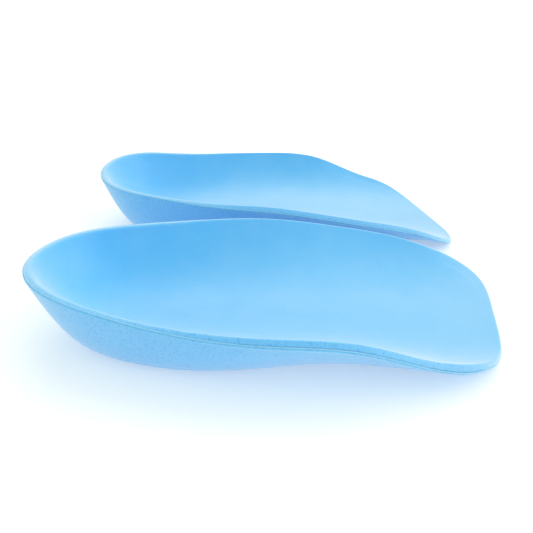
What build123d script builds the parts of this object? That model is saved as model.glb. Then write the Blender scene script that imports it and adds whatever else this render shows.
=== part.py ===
"""A pair of three-quarter-length cushioned insoles, left and right, laid side by side.

Each insole is a deep heel cup that runs out into low side walls and a thin, broad front
edge. It is three layers: a firm foam base shell that stands on the floor, a thin film of
glue, and a soft foam top cover. All three are ground to one sloping land along the rim,
so the cut edge of the cover shows there as a narrow band.

Millimetres. X runs from the heels to the front edges, Y from the right insole to the left
one, and Z up. The origin is under the middle of the pair, on the floor.
"""
from build123d import *
import math
import os
import numpy as np

# Plan of the right insole, before it is placed: X from the heel, +Y towards the arch side
HEEL_BACK = 4.1          # X of the rear of the heel cup
HEEL_LENGTH = 51.5       # how far the rounding of the heel cup reaches forward
TOE_LINE = 171.0         # where the front edge crosses the axis
TOE_SLANT = 0.23         # how much further forward the front edge is towards the arch
TOE_LENGTH = 19.0        # how far the rounding of the front corners reaches back
CORNER_POWER = 4         # above 2 the front corners are squarer than an ellipse's
HALF_WIDTH = [(0, 31.9), (10, 31.6), (36, 32.8), (60, 38.4), (87, 41.6), (116, 42.0),
              (137, 40.5), (152, 38.0), (180, 35.0)]
MID_LINE = [(0, -2.2), (30, -1.9), (60, -1.9), (87, -2.2), (116, -1.5), (152, -0.1),
            (180, -0.6)]

# Heights of the rim above the floor, outer and arch side
OUTER_RIM = [(0, 28.2), (18, 27.2), (37, 24.4), (58, 22.7), (87, 21.7), (115, 19.0),
             (137, 10.6), (150, 7.4), (164, 5.3), (180, 1.2)]
ARCH_RIM = [(0, 26.8), (18, 25.4), (37, 24.3), (58, 23.4), (87, 22.4), (115, 18.6),
            (137, 14.7), (150, 11.6), (164, 6.7), (180, 0.4)]

# Shape of the section: the height rises as the distance from the mid line to a power
SOLE_POWER = [(0, 2.6), (20, 5.4), (43, 7.4), (72, 5.6), (101, 3.4), (135, 3.6),
              (169, 2.6), (185, 2.4)]      # outside: boxy at the heel, open at the rear
SOLE_SINK = 1.7          # how far the outside would pass below the floor: sets the flat
BOWL_POWER_OUTER = [(0, 3.4), (60, 3.4), (120, 3.8), (180, 4.0)]
BOWL_POWER_ARCH = [(0, 3.4), (45, 3.0), (90, 2.5), (130, 2.8), (180, 3.6)]
FLOOR_HEIGHT = [(0, 7.0), (35, 6.6), (70, 7.6), (105, 7.4), (130, 5.2), (150, 3.2),
                (165, 2.4), (180, 2.2)]

# Rim land and layers
LAND_WIDTH = 2.2         # plan width of the sloping land
LAND_TILT = 25.0         # degrees that the land falls away outwards
EDGE_HEIGHT = 0.5        # blunt edge below the land
COVER_THICKNESS = 1.4
FILM_THICKNESS = 0.1

PAIR_SPACING = 86.3      # between the axes of the two insoles

# Net of points that carries the free-form faces
ROWS = 46                # from the heel to the front edge
ROW_START = 2.0
ROW_END = 180.0
ROW_BUNCHING = 1.3       # above 1 the rows are closest together at the heel
COLUMNS = 27             # from side to side
COLUMN_BUNCHING = 1.2    # radians of sine: the columns are closest together at the walls
OVERLAP = 1.10           # the net reaches this far past the half width
OUTLINE_POINTS = 72
OUTLINE_MIDDLE = (90.0, 0.0)
OUTLINE_REACH = (20.0, 110.0)    # the outline lies between these distances from its middle
HALVINGS = 40
STOCK_HEIGHT = 60.0
FAR = 1000.0             # taller than anything to be cut


def smooth(stations):
    """Natural cubic spline through (place, value) stations, as a function of the place."""
    places, values = np.array(stations, float).T
    gaps = np.diff(places)
    slopes = np.diff(values) / gaps
    count = len(places)
    system = np.eye(count)
    right = np.zeros(count)
    for i in range(1, count - 1):
        system[i, i - 1:i + 2] = gaps[i - 1], 2 * (gaps[i - 1] + gaps[i]), gaps[i]
        right[i] = 6 * (slopes[i] - slopes[i - 1])
    bends = np.linalg.solve(system, right)

    def value(place):
        i = min(max(int(np.searchsorted(places, place)) - 1, 0), count - 2)
        step, rest = place - places[i], places[i + 1] - place
        return ((bends[i] * rest ** 3 + bends[i + 1] * step ** 3) / (6 * gaps[i])
                + (values[i] / gaps[i] - bends[i] * gaps[i] / 6) * rest
                + (values[i + 1] / gaps[i] - bends[i + 1] * gaps[i] / 6) * step)

    return value


half_width = smooth(HALF_WIDTH)
mid_line = smooth(MID_LINE)
outer_rim = smooth(OUTER_RIM)
arch_rim = smooth(ARCH_RIM)
sole_power = smooth(SOLE_POWER)
bowl_power_outer = smooth(BOWL_POWER_OUTER)
bowl_power_arch = smooth(BOWL_POWER_ARCH)
floor_height = smooth(FLOOR_HEIGHT)


def across(x, y):
    """Distance from the mid line as a share of the half width, negative outwards."""
    return (y - mid_line(x)) / half_width(x)


def heel_part(x):
    """How far x lies into the rounding of the heel: 0 in front of it, 1 at its rear."""
    return max(0.0, (HEEL_BACK + HEEL_LENGTH - x) / HEEL_LENGTH)


def toe_part(x, y):
    """How far a point lies into the rounding of the front corners: 1 at the front edge."""
    return max(0.0, (x - TOE_SLANT * y - TOE_LINE + TOE_LENGTH) / TOE_LENGTH)


def wall_reach(x, y):
    """0 on the mid line and 1 at the outer rim, counting the side walls and the heel."""
    return math.sqrt(across(x, y) ** 2 + heel_part(x) ** 3)


def edge_measure(x, y):
    """1 all along the outline, counting the front edge as well, and 0 in the middle."""
    return wall_reach(x, y) ** CORNER_POWER + toe_part(x, y) ** 2


def arch_share(x, y):
    """0 on the outer side, 1 on the arch side, and a smooth change across the middle."""
    t = min(max(across(x, y) + 0.5, 0.0), 1.0)
    return t * t * (3 - 2 * t)


def blend(outer, arch, x, y):
    """A value that has one course along the outer side and another along the arch side."""
    share = arch_share(x, y)
    return outer(x) * (1 - share) + arch(x) * share


def rim_height(x, y):
    """Height of the outer edge of the rim, carried across the insole."""
    return blend(outer_rim, arch_rim, x, y)


def sole(x, y):
    """Outside of the base shell; the floor cuts it off flat."""
    lift = wall_reach(x, y) ** sole_power(x)
    return (rim_height(x, y) + SOLE_SINK) * lift - SOLE_SINK


def land(x, y):
    """Sloping land that trims all the layers along the rim."""
    inside = (1 - edge_measure(x, y)) / CORNER_POWER * half_width(x)
    return rim_height(x, y) + EDGE_HEIGHT + inside * math.tan(math.radians(LAND_TILT))


def bowl(x, y, depth=0.0):
    """Top of the cover, which the foot stands on, or the same surface depth further in."""
    crest = rim_height(x, y) + EDGE_HEIGHT + LAND_WIDTH * math.tan(math.radians(LAND_TILT))
    reach = wall_reach(x, y) * half_width(x) / (half_width(x) - LAND_WIDTH + depth)
    power = blend(bowl_power_outer, bowl_power_arch, x, y)
    bottom = floor_height(x)
    return bottom - depth + (crest - bottom) * reach ** power


def cover_base(x, y):
    """Underside of the cover."""
    return bowl(x, y, COVER_THICKNESS)


def film_base(x, y):
    """Top of the base shell, under the film of glue."""
    return bowl(x, y, COVER_THICKNESS + FILM_THICKNESS)


def net_rows():
    length = ROW_END - ROW_START
    return [ROW_START + length * (i / (ROWS - 1)) ** ROW_BUNCHING for i in range(ROWS)]


def net_shares():
    """Places of the columns as shares of the half width."""
    turns = [COLUMN_BUNCHING * (2 * i / (COLUMNS - 1) - 1) for i in range(COLUMNS)]
    return [OVERLAP * math.sin(turn) / math.sin(COLUMN_BUNCHING) for turn in turns]


def face_of(height):
    """Free-form face with the given height over a net that follows the outline."""
    points = []
    for x in net_rows():
        row = [mid_line(x) + share * half_width(x) for share in net_shares()]
        points.append([Vector(x, y, height(x, y)) for y in row])
    return Face.make_surface_from_array_of_points(points, tol=0.001, min_deg=3, max_deg=3)


def above(face):
    """Everything over a free-form face."""
    return Solid.extrude(face, Vector(0, 0, FAR))


def below(face):
    """Everything under a free-form face."""
    return Solid.extrude(face, Vector(0, 0, -FAR))


def outline_point(angle):
    """Point of the outline in a direction from its middle, found by halving."""
    near, far = OUTLINE_REACH
    for _ in range(HALVINGS):
        reach = (near + far) / 2
        x = OUTLINE_MIDDLE[0] + reach * math.cos(angle)
        y = OUTLINE_MIDDLE[1] + reach * math.sin(angle)
        if edge_measure(x, y) < 1:
            near = reach
        else:
            far = reach
    return (x, y)


def outline_block():
    """Upright block with the plan outline of one insole."""
    angles = [2 * math.pi * i / OUTLINE_POINTS for i in range(OUTLINE_POINTS)]
    edge = Edge.make_spline([Vector(*outline_point(a)) for a in angles], periodic=True)
    return Solid.extrude(Face(Wire([edge])), Vector(0, 0, STOCK_HEIGHT))


def insole_layers():
    """The three layers of a right insole, with its heel near X = 0 and its axis on Y = 0."""
    stock = outline_block() - above(face_of(land))
    bowl_face = face_of(bowl)
    cover_base_face = face_of(cover_base)
    film_base_face = face_of(film_base)
    return {
        "base_shell": stock - above(film_base_face) - below(face_of(sole)),
        "glue_film": stock - below(film_base_face) - above(cover_base_face),
        "top_cover": stock - below(cover_base_face) - above(bowl_face),
    }


def as_left(solid):
    """Mirror image of a layer, at the left insole's place in the pair."""
    return Pos(0, PAIR_SPACING, 0) * solid.mirror(Plane.XZ)


def main():
    os.makedirs("parts", exist_ok=True)
    nodes = {}
    for name, solid in insole_layers().items():
        nodes[f"right_{name}"] = solid
        nodes[f"left_{name}"] = as_left(solid)
    box = Compound(list(nodes.values())).bounding_box()
    centring = Pos(-(box.min.X + box.max.X) / 2, -(box.min.Y + box.max.Y) / 2, -box.min.Z)
    for name, solid in nodes.items():
        export_step(centring * solid, f"parts/{name}.step")


main()
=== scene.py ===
"""A pair of cushioned insoles: soft top covers, firm base shells and the glue between them.

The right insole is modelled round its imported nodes, and the left one is its mirror image.
Mesh lines fan out from the middle of each insole to its outline, like the spokes of a wheel.
Every piece is a stack of rings, and each ring has one point on every spoke.
"""
import math
import bmesh
import bpy
from bpy.props import FloatProperty, FloatVectorProperty, IntProperty, PointerProperty
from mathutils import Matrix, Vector
from mathutils.bvhtree import BVHTree


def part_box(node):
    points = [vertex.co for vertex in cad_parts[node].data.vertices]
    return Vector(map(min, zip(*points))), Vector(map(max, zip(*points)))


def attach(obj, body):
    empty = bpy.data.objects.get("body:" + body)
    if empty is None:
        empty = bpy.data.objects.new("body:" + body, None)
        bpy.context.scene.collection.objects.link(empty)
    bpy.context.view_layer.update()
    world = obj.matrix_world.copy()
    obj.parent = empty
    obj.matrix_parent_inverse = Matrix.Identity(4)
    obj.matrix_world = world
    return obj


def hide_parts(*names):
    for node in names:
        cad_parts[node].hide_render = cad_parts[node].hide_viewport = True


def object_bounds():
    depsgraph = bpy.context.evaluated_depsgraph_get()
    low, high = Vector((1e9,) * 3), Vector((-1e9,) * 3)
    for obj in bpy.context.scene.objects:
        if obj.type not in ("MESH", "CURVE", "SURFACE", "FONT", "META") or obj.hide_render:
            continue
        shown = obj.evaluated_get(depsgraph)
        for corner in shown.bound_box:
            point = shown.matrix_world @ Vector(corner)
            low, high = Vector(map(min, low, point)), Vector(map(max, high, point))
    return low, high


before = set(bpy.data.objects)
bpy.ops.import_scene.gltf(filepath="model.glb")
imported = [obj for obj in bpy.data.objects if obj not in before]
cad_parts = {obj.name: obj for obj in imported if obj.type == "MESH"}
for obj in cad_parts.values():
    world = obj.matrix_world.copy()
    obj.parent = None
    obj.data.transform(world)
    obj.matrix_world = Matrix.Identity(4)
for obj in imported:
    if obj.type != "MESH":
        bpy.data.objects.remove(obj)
CAD_LOW, CAD_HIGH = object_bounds()

bl_info = {
    "name": "Cushioned insoles",
    "version": (1, 0, 0),
    "blender": (4, 5, 0),
    "location": "3D View > Sidebar > Insoles",
    "description": "Models a pair of cushioned foam insoles round their packed frame",
    "category": "Object",
}

MM = 0.001
HAIR = 0.03 * MM         # a ray this far inside an edge still meets the foam


# ---- settings ----

class InsoleShape(bpy.types.PropertyGroup):
    """How finely the insoles are modelled, and how soft their edges are."""
    fan_spokes: IntProperty(
        name="Fan spokes", description="Spokes that fan out round the heel, and to the front",
        default=56, min=16)
    side_spokes: IntProperty(
        name="Side spokes", description="Spokes along each side", default=56, min=16)
    heel_crest: FloatProperty(
        name="Heel crest", description="Rounding of the rim's crest at the heel",
        default=1.8 * MM, subtype="DISTANCE")
    side_crest: FloatProperty(
        name="Side crest", description="Rounding of the rim's crest from the waist forwards",
        default=0.5 * MM, subtype="DISTANCE")
    land_drop: FloatProperty(
        name="Land drop", description="How much more steeply the rim's land is ground "
        "from the waist forwards", default=0.8 * MM, subtype="DISTANCE")
    edge_round: FloatProperty(
        name="Edge rounding", description="Rounding of the shell's thin outer edge",
        default=0.2 * MM, subtype="DISTANCE")
    foot_round: FloatProperty(
        name="Foot rounding", description="Rounding where the wall meets the flat bottom",
        default=0.8 * MM, subtype="DISTANCE")
    glue_radius: FloatProperty(
        name="Glue line", description="Radius of the line of glue along the seam",
        default=0.2 * MM, subtype="DISTANCE")


class FoamLook(bpy.types.PropertyGroup):
    """Colours and grain of the foams and the glue."""
    cover_colour: FloatVectorProperty(
        name="Cover", description="Colour of the soft top foam", subtype="COLOR", size=3,
        default=(0.06, 0.47, 0.92), min=0, max=1)
    shell_colour: FloatVectorProperty(
        name="Shell", description="Colour of the firm base foam", subtype="COLOR", size=3,
        default=(0.06, 0.47, 0.92), min=0, max=1)
    deep_colour: FloatVectorProperty(
        name="Cells", description="Colour in the open cells of the ground foam",
        subtype="COLOR", size=3, default=(0.04, 0.36, 0.86), min=0, max=1)
    ground_colour: FloatVectorProperty(
        name="Ground foam", description="Colour of the foam where it is ground",
        subtype="COLOR", size=3, default=(0.17, 0.54, 0.93), min=0, max=1)
    cover_sheen: FloatProperty(
        name="Cover sheen", description="Soft shine of the top foam", default=1.0)
    shell_sheen: FloatProperty(
        name="Shell sheen", description="Soft shine of the base foam", default=0.5)
    # paler than the foam: partly the glue's own colour, partly a painted highlight along the
    # seam
    glue_and_highlight_colour: FloatVectorProperty(
        name="Glue", description="Colour of the pale glue with a painted highlight", subtype="COLOR", size=3,
        default=(0.26, 0.62, 0.95), min=0, max=1)
    cell_size: FloatProperty(
        name="Cell size", description="Size of the open cells where the foam is ground",
        default=0.7 * MM, subtype="DISTANCE")
    skin_grain: FloatProperty(
        name="Skin grain", description="Size of the fine grain on the moulded skin",
        default=0.8 * MM, subtype="DISTANCE")


class StageLook(bpy.types.PropertyGroup):
    """The floor, the light and the camera."""
    floor_size: FloatProperty(
        name="Floor", description="Side of the plain floor", default=40.0, subtype="DISTANCE")
    key_strength: FloatProperty(
        name="Key light", description="Strength of the broad soft light", default=0.75)
    fill_strength: FloatProperty(
        name="Fill light", description="Strength of the soft light from beyond the front ends",
        default=1.1)
    key_colour: FloatVectorProperty(
        name="Key colour", description="Colour of the broad soft light", subtype="COLOR",
        size=3, default=(1.0, 0.90, 0.74), min=0, max=1)
    room_colour: FloatVectorProperty(
        name="Room colour", description="Light that comes from all round", subtype="COLOR",
        size=3, default=(0.76, 0.83, 0.79), min=0, max=1)
    floor_glow: FloatProperty(
        name="Floor glow", description="Light that the pale floor gives off itself",
        default=0.30)
    lens: FloatProperty(
        name="Lens", description="Focal length of the camera in millimetres", default=34.24)


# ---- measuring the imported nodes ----

class Solid:
    """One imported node, measured with upright rays."""
    GAP = 5 * MM             # a ray starts this far outside the insoles

    def __init__(self, node):
        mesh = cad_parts[node].data
        corners = [vertex.co.copy() for vertex in mesh.vertices]
        faces = [tuple(face.vertices) for face in mesh.polygons]
        self.tree = BVHTree.FromPolygons(corners, faces, epsilon=1e-7)

    def top(self, place):
        """Height of its upper side, or None beside it."""
        start = Vector((place.x, place.y, CAD_HIGH.z + self.GAP))
        hit = self.tree.ray_cast(start, Vector((0, 0, -1)))[0]
        return None if hit is None else max(hit.z, 0.0)

    def under(self, place):
        """Height of its underside, or None beside it."""
        start = Vector((place.x, place.y, -self.GAP))
        hit = self.tree.ray_cast(start, Vector((0, 0, 1)))[0]
        return None if hit is None else max(hit.z, 0.0)


class Spoke:
    """A line in plan, from the middle of the insole out to its outline."""
    WIDEST = 0.12            # metres, further than any spoke reaches
    HALVINGS = 22
    SHARE_USED = 0.72        # of its length, counted from the outline

    def __init__(self, root, angle, shell):
        self.root = root
        self.way = Vector((math.cos(angle), math.sin(angle)))
        inside, outside = 0.0, self.WIDEST
        for _ in range(self.HALVINGS):
            reach = (inside + outside) / 2
            if shell.top(self.root + self.way * reach) is None:
                outside = reach
            else:
                inside = reach
        self.length = inside
        self.end = inside * self.SHARE_USED

    def place(self, inset):
        """The place in plan this far in from the outline."""
        return self.root + self.way * (self.length - inset)


def make_spokes(node, shell, shape):
    """Spokes all round, from the outer side of the heel by way of its rear.

    They fan out round the middle of the heel and of the front, and run straight
    across between the two. Both middles are set by shares of the insole's width.
    """
    HEEL_IN, HEEL_ASIDE, FRONT_IN = 0.40, 0.01, 0.32
    HALF_TURN, TO_ARCH, TO_OUTSIDE = 180, 90, 270
    low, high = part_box(node)
    width, middle = high.y - low.y, (high.y + low.y) / 2
    heel = Vector((low.x + HEEL_IN * width, middle + HEEL_ASIDE * width))
    front = Vector((high.x - FRONT_IN * width, middle))
    fan, side = shape.fan_spokes, shape.side_spokes
    spokes = []
    for root, other, first, across in ((heel, front, TO_OUTSIDE, TO_ARCH),
                                       (front, heel, TO_ARCH, TO_OUTSIDE)):
        for i in range(fan):
            spokes.append(Spoke(root, math.radians(first - HALF_TURN * i / fan), shell))
        for i in range(side):
            spokes.append(Spoke(root.lerp(other, i / side), math.radians(across), shell))
    return spokes


def evened(values, passes):
    """A ring of values, each blended with its neighbours."""
    count = len(values)
    for _ in range(passes):
        values = [(values[i - 1] + 2 * values[i] + values[(i + 1) % count]) / 4
                  for i in range(count)]
    return values


# ---- lines in a section: points of (inset, height) ----

def length_of(line):
    """Length of a line of points."""
    return sum((b - a).length for a, b in zip(line, line[1:]))


def point_at(line, distance):
    """The point this far along a line of points."""
    for a, b in zip(line, line[1:]):
        step = (b - a).length
        if distance <= step and step > 0:
            return a.lerp(b, distance / step)
        distance -= step
    return line[-1].copy()


def spaced(line, start, stop, count):
    """Points spaced evenly along a line, from one distance to another."""
    return [point_at(line, start + (stop - start) * i / (count - 1)) for i in range(count)]


def section(runs, rounds, counts, longest=0.4):
    """A section through joined runs of line, with its corners rounded.

    A rounding uses up no more than the longest share of a run.
    """
    ROUND_STEPS = 4
    cuts = [0.0]
    for before, after, radius in zip(runs, runs[1:], rounds):
        cuts.append(min(radius, longest * length_of(before), longest * length_of(after)))
    cuts.append(0.0)
    points = []
    for k, (run, count) in enumerate(zip(runs, counts)):
        length = length_of(run)
        part = spaced(run, cuts[k], length - cuts[k + 1], count)
        if points:
            a, b, c = points[-1], run[0], part[0]
            for i in range(1, ROUND_STEPS):
                t = i / ROUND_STEPS
                points.append(a.lerp(b, t).lerp(b.lerp(c, t), t))
        points += part
    return points


class Insole:
    """The spokes of one insole and the sections of its layers along them."""
    FINE = 90                # measured steps along one spoke
    BUNCHING = 2.2           # how the rays crowd towards the rim
    CREST_SEARCH = 4.5 * MM  # the seam and the crest lie within this of the edge
    CREST_STEPS = 60
    SEAM_HALVINGS = 14
    FOOT_STEP = 0.2 * MM
    SHELL_LOW_SHARE = 0.45   # the blunt edge's lower end, for a very thin edge
    CREST_LEAN = 0.1         # the crest is where the cover rises more than this
    BLUNT = 0.5 * MM         # height of the shell's blunt outer edge
    LEAST_STRIP = 0.1 * MM
    MOST_DROP = 0.4          # share of the edge's height that the land may lose
    FULL_LAND = 2.0 * MM     # inset of the crest where the land has its whole width
    HEEL_FADE = 45 * MM      # the heel's rim turns into the waist's over this length

    def __init__(self, side, shape):
        self.shape = shape
        node = side + "_base_shell"
        self.shell = Solid(node)
        self.cover = Solid(side + "_top_cover")
        self.spokes = make_spokes(node, self.shell, shape)
        self.heel_x = self.spokes[0].root.x
        self.ball_x = self.spokes[-shape.side_spokes].root.x
        self.seam_inset = evened([self.find_seam(s) for s in self.spokes], 8)
        self.seam_height = evened([self.find_seam_height(s) for s in self.spokes], 5)
        self.crest_inset = evened([self.find_crest(s) for s in self.spokes], 12)
        self.edge_height = evened([self.shell.top(s.place(HAIR)) for s in self.spokes], 5)
        for i, spoke in enumerate(self.spokes):
            drop = shape.land_drop * self.waist_share(spoke)
            drop *= min(self.crest_inset[i] / self.FULL_LAND, 1.0)
            drop *= 1 - self.toe_share(spoke)
            drop = min(drop, self.MOST_DROP * self.edge_height[i])
            self.seam_height[i] -= drop
            self.edge_height[i] -= drop
        self.foot_inset = evened([self.find_foot(s) for s in self.spokes], 2)

    def find_seam(self, spoke):
        """Where the cover's edge lies on the rim."""
        if self.cover.top(spoke.place(HAIR)) is not None:
            return 0.0
        beside, inside = HAIR, self.CREST_SEARCH / 2
        for _ in range(self.SEAM_HALVINGS):
            inset = (beside + inside) / 2
            if self.cover.top(spoke.place(inset)) is None:
                beside = inset
            else:
                inside = inset
        return inside

    def find_seam_height(self, spoke):
        """Height of the cover's edge."""
        return self.cover.under(spoke.place(self.find_seam(spoke) + HAIR))

    def find_crest(self, spoke):
        """Where the rim is highest, or its edge where it has no crest."""
        best, best_inset = -1.0, 0.0
        for i in range(self.CREST_STEPS):
            inset = HAIR + self.CREST_SEARCH * i / self.CREST_STEPS
            height = self.cover.top(spoke.place(inset))
            if height is not None and height - self.CREST_LEAN * inset > best:
                best, best_inset = height - self.CREST_LEAN * inset, inset
        return 0.0 if best_inset <= 2 * HAIR else best_inset

    def find_foot(self, spoke):
        """Where the wall comes down to the ground."""
        inset = HAIR
        while inset < spoke.end and self.shell.under(spoke.place(inset)) > HAIR:
            inset += self.FOOT_STEP
        return max(inset, self.LEAST_STRIP * 1.5)

    def line(self, spoke, measure, start, stop, first):
        """Measured points along a spoke, from one inset to another."""
        points = [first]
        for i in range(1, self.FINE + 1):
            inset = start + (stop - start) * (i / self.FINE) ** self.BUNCHING
            height = measure(spoke.place(max(inset, HAIR)))
            if height is not None:
                points.append(Vector((inset, height)))
        return points

    def seam(self, i):
        """The seam between cover and shell on one spoke."""
        return Vector((self.seam_inset[i], self.seam_height[i]))

    def waist_share(self, spoke):
        """0 round the heel, 1 from the waist forwards."""
        share = (spoke.place(0).x - self.heel_x) / self.HEEL_FADE
        return min(max(share, 0.0), 1.0)

    def toe_share(self, spoke):
        """0 from the heel to the ball, 1 at the front edge."""
        share = (spoke.place(0).x - self.ball_x) / (CAD_HIGH.x - self.ball_x)
        return min(max(share, 0.0), 1.0)

    def crest_round(self, spoke):
        """The crest is broad round the heel and the front edge, and crisp between."""
        share = self.waist_share(spoke) * (1 - self.toe_share(spoke))
        return self.shape.heel_crest * (1 - share) + self.shape.side_crest * share

    def cover_sections(self, land=4, bowl=30):
        """From the seam over the land and the crest, and down into the bowl."""
        result = []
        for i, spoke in enumerate(self.spokes):
            crest_inset = self.crest_inset[i]
            crest = Vector((crest_inset, self.cover.top(spoke.place(max(crest_inset, HAIR)))))
            inner = self.line(spoke, self.cover.top, crest_inset, spoke.end, crest)
            result.append(section([[self.seam(i), crest], inner],
                                  [self.crest_round(spoke)], [land, bowl], longest=0.75))
        return result

    def cover_hidden(self, count=14):
        """The cover's glued side, from the seam inwards."""
        return self.inner_sections(self.cover.under, count)

    def shell_sections(self, strip=3, edge=3, wall=20, bottom=4):
        """From the seam over the outer edge, down the wall and under."""
        result = []
        for i, spoke in enumerate(self.spokes):
            seam = self.seam(i)
            high = min(self.edge_height[i], seam.y - self.LEAST_STRIP)
            low = max(high - self.BLUNT, self.SHELL_LOW_SHARE * high)
            foot = self.foot_inset[i]
            edge_top, edge_low = Vector((0, high)), Vector((0, low))
            side = self.line(spoke, self.shell.under, 0.0, foot, edge_low)
            side = [p for p in side if p.y < low - HAIR / 3 and p.x < foot - HAIR]
            side = [edge_low] + side + [Vector((foot, 0.0))]
            under = [Vector((foot, 0.0)), Vector((spoke.end, 0.0))]
            result.append(section(
                [[seam, edge_top], [edge_top, edge_low], side, under],
                [self.shape.edge_round, self.shape.edge_round, self.shape.foot_round],
                [strip, edge, wall, bottom]))
        return result

    def shell_hidden(self, count=14):
        """The shell's glued side, from the seam inwards."""
        return self.inner_sections(self.shell.top, count)

    def inner_sections(self, measure, count):
        """From the seam inwards along one measured side."""
        result = []
        for i, spoke in enumerate(self.spokes):
            start = max(self.seam_inset[i], HAIR)
            line = self.line(spoke, measure, start, spoke.end, self.seam(i))
            result.append(spaced(line, 0.0, length_of(line), count))
        return result

    def rings(self, sections):
        """The sections turned into rings of places, evened from spoke to spoke."""
        result = []
        for j in range(len(sections[0])):
            insets = evened([s[j].x for s in sections], 3)
            heights = evened([s[j].y for s in sections], 3)
            result.append([
                Vector((*spoke.place(inset), height))
                for spoke, inset, height in zip(self.spokes, insets, heights)])
        return result


_measured = {}


def measured(side):
    """The insole of this side, measured once."""
    if side not in _measured:
        _measured[side] = Insole(side, bpy.context.scene.insole_shape)
    return _measured[side]


# ---- modelling by hand ----

GRID_ROW = -1                # the row number of points inside a closing grid
SMOOTHINGS = 14              # of a cover's bowl
CREASE_ANGLE = 60            # degrees, sharper edges than this stay crisp


def select_nothing():
    """Leaves no object selected or active."""
    bpy.ops.object.select_all(action="DESELECT")
    bpy.context.view_layer.objects.active = None


def start_ring(name, ring):
    """A new piece in edit mode, with one ring of points."""
    select_nothing()
    bpy.ops.mesh.primitive_circle_add(vertices=len(ring), radius=0.04, fill_type="NOTHING")
    piece = bpy.context.object
    piece.name = piece.data.name = name
    bpy.ops.object.mode_set(mode="EDIT")
    bpy.ops.mesh.select_mode(type="VERT")
    shape = bmesh.from_edit_mesh(piece.data)
    spoke_of = shape.verts.layers.int.new("spoke")
    shape.verts.layers.int.new("row")
    ground_of = shape.verts.layers.float.new("ground")
    shape.verts.ensure_lookup_table()
    for i, vertex in enumerate(shape.verts):
        vertex[spoke_of] = i
        vertex[ground_of] = 1.0
        vertex.co = ring[i]
    bmesh.update_edit_mesh(piece.data)
    return piece


def extrude_to(piece, ring, row, ground=0.0):
    """Extrudes the selected ring and moves the new one into place."""
    bpy.ops.mesh.extrude_region()
    shape = bmesh.from_edit_mesh(piece.data)
    spoke_of = shape.verts.layers.int["spoke"]
    row_of = shape.verts.layers.int["row"]
    ground_of = shape.verts.layers.float["ground"]
    for vertex in shape.verts:
        if vertex.select:
            vertex.co = ring[vertex[spoke_of]]
            vertex[row_of] = row
            vertex[ground_of] = ground
    bmesh.update_edit_mesh(piece.data)


def select_row(piece, row):
    """Selects one ring of the piece."""
    bpy.ops.mesh.select_all(action="DESELECT")
    shape = bmesh.from_edit_mesh(piece.data)
    row_of = shape.verts.layers.int["row"]
    for edge in shape.edges:
        if all(vertex[row_of] == row for vertex in edge.verts):
            edge.select = True
    bmesh.update_edit_mesh(piece.data)


def close_ring(piece, row, span, measure):
    """Fills the selected ring with a grid that lies on the measured side."""
    shape = bmesh.from_edit_mesh(piece.data)
    spoke_of = shape.verts.layers.int["spoke"]
    row_of = shape.verts.layers.int["row"]
    for vertex in shape.verts:
        if vertex[row_of] == row and vertex[spoke_of] == 0:
            shape.select_history.clear()
            shape.select_history.add(vertex)
    before = len(shape.verts)
    bmesh.update_edit_mesh(piece.data)
    bpy.ops.mesh.fill_grid(span=span, offset=0, use_interp_simple=True)
    shape = bmesh.from_edit_mesh(piece.data)
    shape.verts.ensure_lookup_table()
    ground_of = shape.verts.layers.float["ground"]
    row_of = shape.verts.layers.int["row"]
    if len(shape.verts) == before:
        raise RuntimeError(f"{piece.name}: the ring wasn't filled")
    for vertex in list(shape.verts)[before:]:
        vertex[row_of] = GRID_ROW
        vertex[ground_of] = 0.0
        vertex.co.z = measure(vertex.co.xy)
    bmesh.update_edit_mesh(piece.data)


def finish_mesh(piece):
    """Turns a closed piece's faces outwards, smooths it and shades it."""
    bpy.ops.mesh.select_all(action="SELECT")
    bpy.ops.mesh.normals_make_consistent(inside=False)
    shape = bmesh.from_edit_mesh(piece.data)
    loose = [e for e in shape.edges if not e.is_manifold]
    if loose:
        raise RuntimeError(f"{piece.name} is open along {len(loose)} edges")
    bpy.ops.object.mode_set(mode="OBJECT")
    bpy.ops.object.modifier_add(type="SUBSURF")
    smooth = piece.modifiers[-1]
    smooth.levels = smooth.render_levels = 1
    bpy.ops.object.modifier_apply(modifier=smooth.name)
    bpy.ops.object.shade_smooth_by_angle(angle=math.radians(CREASE_ANGLE))


def mirror_copy(piece, name):
    """The same piece for the other foot, with a mesh of its own."""
    select_nothing()
    other = piece.copy()
    other.data = piece.data.copy()
    other.name = other.data.name = name
    bpy.context.scene.collection.objects.link(other)
    other.select_set(True)
    bpy.context.view_layer.objects.active = other
    other.scale = (1, -1, 1)
    bpy.ops.object.transform_apply(location=False, rotation=False, scale=True)
    bpy.ops.object.mode_set(mode="EDIT")
    bpy.ops.mesh.select_all(action="SELECT")
    bpy.ops.mesh.normals_make_consistent(inside=False)
    bpy.ops.object.mode_set(mode="OBJECT")
    return other


def relax(piece, first_row, last_row):
    """Evens out the points of a broad soft face, between two rings and in its grid."""
    bpy.ops.mesh.select_all(action="DESELECT")
    shape = bmesh.from_edit_mesh(piece.data)
    row_of = shape.verts.layers.int["row"]
    for vertex in shape.verts:
        if first_row <= vertex[row_of] <= last_row or vertex[row_of] == GRID_ROW:
            vertex.select = True
    bmesh.update_edit_mesh(piece.data)
    bpy.ops.mesh.vertices_smooth(factor=0.5, repeat=SMOOTHINGS)


def layered_piece(name, insole, outer, hidden, grounds, caps, soft_from):
    """A closed piece from its outer rings, its hidden rings and a grid at each end."""
    span = insole.shape.fan_spokes
    piece = start_ring(name, outer[0])
    for row, ring in enumerate(outer[1:], start=1):
        extrude_to(piece, ring, row, grounds[row])
    close_ring(piece, len(outer) - 1, span, caps[0])
    relax(piece, soft_from, len(outer))
    select_row(piece, 0)
    for row, ring in enumerate(hidden[1:], start=len(outer)):
        extrude_to(piece, ring, row)
    close_ring(piece, len(outer) + len(hidden) - 2, span, caps[1])
    finish_mesh(piece)
    return piece


# ---- materials ----

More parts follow.
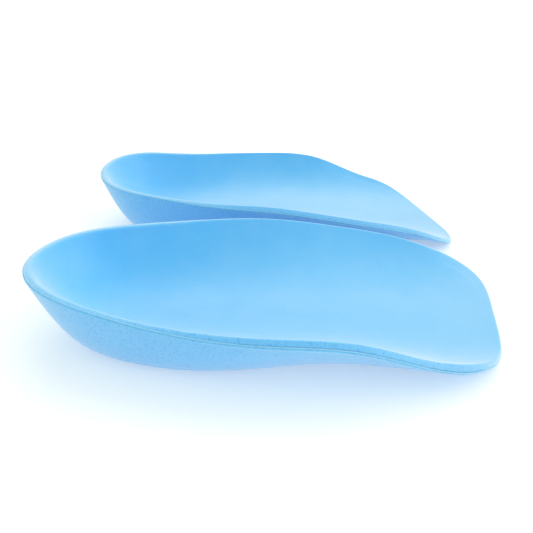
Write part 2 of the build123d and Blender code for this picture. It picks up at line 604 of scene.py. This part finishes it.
class Nodes:
    """A material's nodes, added and joined by name."""

    def __init__(self, name):
        self.material = bpy.data.materials.new(name)
        self.material.use_nodes = True
        self.tree = self.material.node_tree
        self.shader = self.tree.nodes["Principled BSDF"]

    def add(self, kind, settings=None, **inputs):
        """A node, with its sockets set to values or joined to other nodes' outputs."""
        node = self.tree.nodes.new("ShaderNode" + kind)
        for key, value in (settings or {}).items():
            setattr(node, key, value)
        for key, value in inputs.items():
            name = key.replace("_", " ")
            socket = node.inputs[int(key[1:])] if key[0] == "n" and key[1:].isdigit() \
                else node.inputs[name]
            if isinstance(value, bpy.types.NodeSocket):
                self.tree.links.new(value, socket)
            else:
                socket.default_value = value
        return node

    def noise(self, place, size, detail=3.0, roughness=0.5):
        """Cloudy noise with features of this size in metres."""
        node = self.add("TexNoise", Vector=place, Scale=1 / size, Detail=detail,
                        Roughness=roughness)
        return node.outputs["Fac"]

    def span(self, value, low, high, to_low=0.0, to_high=1.0):
        """A value stretched from one range to another."""
        node = self.add("MapRange", n0=value, n1=low, n2=high, n3=to_low, n4=to_high)
        return node.outputs["Result"]

    def times(self, a, b):
        """One value times another."""
        return self.add("Math", {"operation": "MULTIPLY"}, n0=a, n1=b).outputs[0]

    def plus(self, a, b):
        """Two values added."""
        return self.add("Math", {"operation": "ADD"}, n0=a, n1=b).outputs[0]

    def mix(self, share, a, b):
        """One colour turning into another."""
        node = self.add("Mix", {"data_type": "RGBA"}, Factor=share)
        for socket, value in ((node.inputs[6], a), (node.inputs[7], b)):
            if isinstance(value, bpy.types.NodeSocket):
                self.tree.links.new(value, socket)
            else:
                socket.default_value = (*value, 1)
        return node.outputs[2]


def foam(name, colour, ground_floor, sheen, look):
    """Matte foam: fine grain on its moulded skin and open cells where it is ground."""
    CLOUD_SIZE, CLOUD_PALER = 12 * MM, 0.03
    GRAIN_SHARE, GROUND_SHARE, FLECK_SHARE = 0.22, 0.5, 0.75
    GRAIN_RISE, CELL_RISE = 0.25, -0.9
    n = Nodes(name)
    place = n.add("TexCoord").outputs["Object"]
    ground = n.add("Attribute", {"attribute_name": "ground"}).outputs["Fac"]
    ground = n.add("Math", {"operation": "MAXIMUM"}, n0=ground, n1=ground_floor).outputs[0]
    clouds = n.noise(place, CLOUD_SIZE, 3.0)
    grain = n.noise(place, look.skin_grain, 4.0, 0.6)
    cells = n.noise(place, look.cell_size, 2.0, 0.55)
    flecks = n.span(cells, 0.50, 0.68)
    paler = tuple(c + (1 - c) * CLOUD_PALER for c in colour)
    base = n.mix(n.span(clouds, 0.35, 0.65), tuple(colour), paler)
    grained = n.times(n.span(grain, 0.35, 0.75), GRAIN_SHARE)
    base = n.mix(grained, base, tuple(look.deep_colour))
    base = n.mix(n.times(ground, GROUND_SHARE), base, tuple(look.ground_colour))
    flecked = n.times(n.times(flecks, ground), FLECK_SHARE)
    base = n.mix(flecked, base, tuple(look.deep_colour))
    n.tree.links.new(base, n.shader.inputs["Base Color"])
    n.tree.links.new(n.span(grain, 0.3, 0.7, 0.42, 0.54), n.shader.inputs["Roughness"])
    n.shader.inputs["Specular IOR Level"].default_value = 0.5
    n.shader.inputs["Subsurface Weight"].default_value = 0.25
    n.shader.inputs["Subsurface Radius"].default_value = (0.4, 0.8, 1.0)
    n.shader.inputs["Subsurface Scale"].default_value = 2 * MM
    n.shader.inputs["Sheen Weight"].default_value = sheen
    n.shader.inputs["Sheen Roughness"].default_value = 0.55
    pits = n.times(n.times(cells, ground), CELL_RISE)
    rise = n.plus(n.times(grain, GRAIN_RISE), pits)
    bump = n.add("Bump", Strength=0.5, Distance=0.15 * MM, Height=rise)
    n.tree.links.new(bump.outputs["Normal"], n.shader.inputs["Normal"])
    return n.material


def glue(name, look):
    """Dried glue, paler than the foam, with a slight shine and an uneven line; the paleness is
    partly a painted highlight along the seam.
    """
    BLOB_SIZE, THINNER = 1.6 * MM, 0.92
    n = Nodes(name)
    place = n.add("TexCoord").outputs["Object"]
    blobs = n.noise(place, BLOB_SIZE, 3.0)
    thin = tuple(c * THINNER for c in look.glue_and_highlight_colour)
    # the pale glue colour is partly a painted highlight along the seam
    base = n.mix(n.span(blobs, 0.4, 0.6), tuple(look.glue_and_highlight_colour), thin)
    n.tree.links.new(base, n.shader.inputs["Base Color"])
    n.tree.links.new(n.span(blobs, 0.3, 0.7, 0.35, 0.6), n.shader.inputs["Roughness"])
    n.shader.inputs["Sheen Weight"].default_value = 0.8
    bump = n.add("Bump", Strength=0.4, Distance=0.1 * MM, Height=blobs)
    n.tree.links.new(bump.outputs["Normal"], n.shader.inputs["Normal"])
    return n.material


def dress(piece, material, body, node):
    """Gives a piece its finish and its body, and hides the node that it stands for."""
    piece.data.materials.clear()
    piece.data.materials.append(material)
    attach(piece, body)
    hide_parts(node)


# ---- one operator for each kind of piece ----

class INSOLES_OT_top_covers(bpy.types.Operator):
    """Model the two soft top covers"""
    bl_idname = "insoles.top_covers"
    bl_label = "Top covers"

    def execute(self, context):
        insole = measured("right")
        land, bowl = 4, 30
        outer = insole.rings(insole.cover_sections(land, bowl))
        hidden = insole.rings(insole.cover_hidden())
        grounds = [1.0] * (land + 2) + [0.5] + [0.0] * len(outer)
        piece = layered_piece("right_cover", insole, outer, hidden, grounds,
                              (insole.cover.top, insole.cover.under), land + 8)
        other = mirror_copy(piece, "left_cover")
        look = context.scene.foam_look
        material = foam("soft cover foam", look.cover_colour, 0.0, look.cover_sheen, look)
        for cover, side in ((piece, "right"), (other, "left")):
            dress(cover, material, side + "_insole", side + "_top_cover")
        return {"FINISHED"}


class INSOLES_OT_base_shells(bpy.types.Operator):
    """Model the two firm base shells"""
    bl_idname = "insoles.base_shells"
    bl_label = "Base shells"

    def execute(self, context):
        insole = measured("right")
        outer = insole.rings(insole.shell_sections())
        hidden = insole.rings(insole.shell_hidden())
        grounds = [1.0] * len(outer)
        piece = layered_piece("right_shell", insole, outer, hidden, grounds,
                              (lambda place: 0.0, insole.shell.top), len(outer))
        other = mirror_copy(piece, "left_shell")
        look = context.scene.foam_look
        material = foam("firm shell foam", look.shell_colour, 0.5, look.shell_sheen, look)
        for shell, side in ((piece, "right"), (other, "left")):
            dress(shell, material, side + "_insole", side + "_base_shell")
        return {"FINISHED"}


class INSOLES_OT_glue_lines(bpy.types.Operator):
    """Model the thin line of glue along the seam of each insole"""
    bl_idname = "insoles.glue_lines"
    bl_label = "Glue lines"
    SIDES = 8
    SAME_PLACE = 1e-6        # metres, the last ring lies on the first

    def execute(self, context):
        insole = measured("right")
        radius = context.scene.insole_shape.glue_radius
        turns = [math.radians(360 * k / self.SIDES) for k in range(self.SIDES + 1)]
        around = [radius * Vector((math.cos(turn), math.sin(turn))) for turn in turns]
        sections = [[insole.seam(i) + step for step in around]
                    for i in range(len(insole.spokes))]
        rings = insole.rings(sections)
        piece = start_ring("right_glue_line", rings[0])
        for row, ring in enumerate(rings[1:], start=1):
            extrude_to(piece, ring, row)
        bpy.ops.mesh.select_all(action="SELECT")
        bpy.ops.mesh.remove_doubles(threshold=self.SAME_PLACE)
        finish_mesh(piece)
        other = mirror_copy(piece, "left_glue_line")
        material = glue("pale glue with a painted highlight", context.scene.foam_look)
        for line, side in ((piece, "right"), (other, "left")):
            dress(line, material, side + "_insole", side + "_glue_film")
        return {"FINISHED"}


class INSOLES_OT_stage(bpy.types.Operator):
    """Set out the floor, the soft light and the camera"""
    bl_idname = "insoles.stage"
    bl_label = "Stage"
    KEY_TURN = (-38, 6, 0)   # degrees: from above and behind
    FILL_TURN = (0, 60, 0)   # degrees: from beyond the front ends
    CAMERA_PLACE = (-0.0038, -0.1977, 0.1128)
    CAMERA_TURN = (90 - 30.3, 0, -0.07)

    def execute(self, context):
        look = context.scene.stage_look
        select_nothing()
        bpy.ops.mesh.primitive_plane_add(size=look.floor_size, location=(0, 0, 0))
        floor = context.object
        floor.name = "floor"
        n = Nodes("pale floor")
        n.shader.inputs["Base Color"].default_value = (0.8, 0.8, 0.8, 1)
        n.shader.inputs["Roughness"].default_value = 0.8
        n.shader.inputs["Specular IOR Level"].default_value = 0.1
        n.shader.inputs["Emission Color"].default_value = (1, 1, 1, 1)
        n.shader.inputs["Emission Strength"].default_value = look.floor_glow
        floor.data.materials.append(n.material)
        self.light("key light", look.key_strength, look, 50, self.KEY_TURN)
        self.light("fill light", look.fill_strength, look, 60, self.FILL_TURN)
        self.room(context, look)
        self.camera(context, look.lens)
        return {"FINISHED"}

    def light(self, name, strength, look, softness, turn):
        """A broad soft light, turned by degrees about each axis."""
        lamp = bpy.data.lights.new(name, "SUN")
        lamp.energy = strength
        lamp.color = look.key_colour
        lamp.angle = math.radians(softness)
        holder = bpy.data.objects.new(name, lamp)
        bpy.context.scene.collection.objects.link(holder)
        holder.rotation_euler = [math.radians(a) for a in turn]

    def room(self, context, look):
        """Even light all round, with a plain white backdrop."""
        world = bpy.data.worlds.new("studio")
        world.use_nodes = True
        tree = world.node_tree
        light = tree.nodes["Background"]
        light.inputs["Color"].default_value = (*look.room_colour, 1)
        backdrop = tree.nodes.new("ShaderNodeBackground")
        backdrop.inputs["Color"].default_value = (1, 1, 1, 1)
        path = tree.nodes.new("ShaderNodeLightPath")
        choice = tree.nodes.new("ShaderNodeMixShader")
        tree.links.new(path.outputs["Is Camera Ray"], choice.inputs[0])
        tree.links.new(light.outputs[0], choice.inputs[1])
        tree.links.new(backdrop.outputs[0], choice.inputs[2])
        tree.links.new(choice.outputs[0], tree.nodes["World Output"].inputs["Surface"])
        context.scene.world = world

    def camera(self, context, lens):
        """A level camera a little above the insoles, in front of them."""
        lens_data = bpy.data.cameras.new("camera")
        lens_data.lens = lens
        lens_data.sensor_width = 36
        lens_data.clip_start = 0.005
        lens_data.clip_end = 100
        holder = bpy.data.objects.new("camera", lens_data)
        context.scene.collection.objects.link(holder)
        holder.location = self.CAMERA_PLACE
        holder.rotation_euler = [math.radians(a) for a in self.CAMERA_TURN]
        context.scene.camera = holder
        context.scene.view_settings.view_transform = "Standard"


OPERATORS = (INSOLES_OT_top_covers, INSOLES_OT_base_shells, INSOLES_OT_glue_lines,
             INSOLES_OT_stage)


class INSOLES_PT_panel(bpy.types.Panel):
    """The settings and the steps that model the insoles"""
    bl_label = "Insoles"
    bl_idname = "INSOLES_PT_panel"
    bl_space_type = "VIEW_3D"
    bl_region_type = "UI"
    bl_category = "Insoles"

    def draw(self, context):
        """Lists the settings and the steps."""
        for group in ("insole_shape", "foam_look", "stage_look"):
            settings = getattr(context.scene, group)
            box = self.layout.box()
            for name in settings.bl_rna.properties.keys():
                if name not in ("rna_type", "name"):
                    box.prop(settings, name)
        for operator in OPERATORS:
            self.layout.operator(operator.bl_idname)


CLASSES = (InsoleShape, FoamLook, StageLook, *OPERATORS, INSOLES_PT_panel)


def register():
    """Adds the classes and the scene's settings."""
    for cls in CLASSES:
        bpy.utils.register_class(cls)
    bpy.types.Scene.insole_shape = PointerProperty(type=InsoleShape)
    bpy.types.Scene.foam_look = PointerProperty(type=FoamLook)
    bpy.types.Scene.stage_look = PointerProperty(type=StageLook)


def unregister():
    """Takes them away again."""
    del bpy.types.Scene.stage_look
    del bpy.types.Scene.foam_look
    del bpy.types.Scene.insole_shape
    for cls in reversed(CLASSES):
        bpy.utils.unregister_class(cls)


def main():
    """Models the stage and the insoles."""
    register()
    bpy.ops.insoles.stage()
    bpy.ops.insoles.top_covers()
    bpy.ops.insoles.base_shells()
    bpy.ops.insoles.glue_lines()


if __name__ == "__main__":
    main()
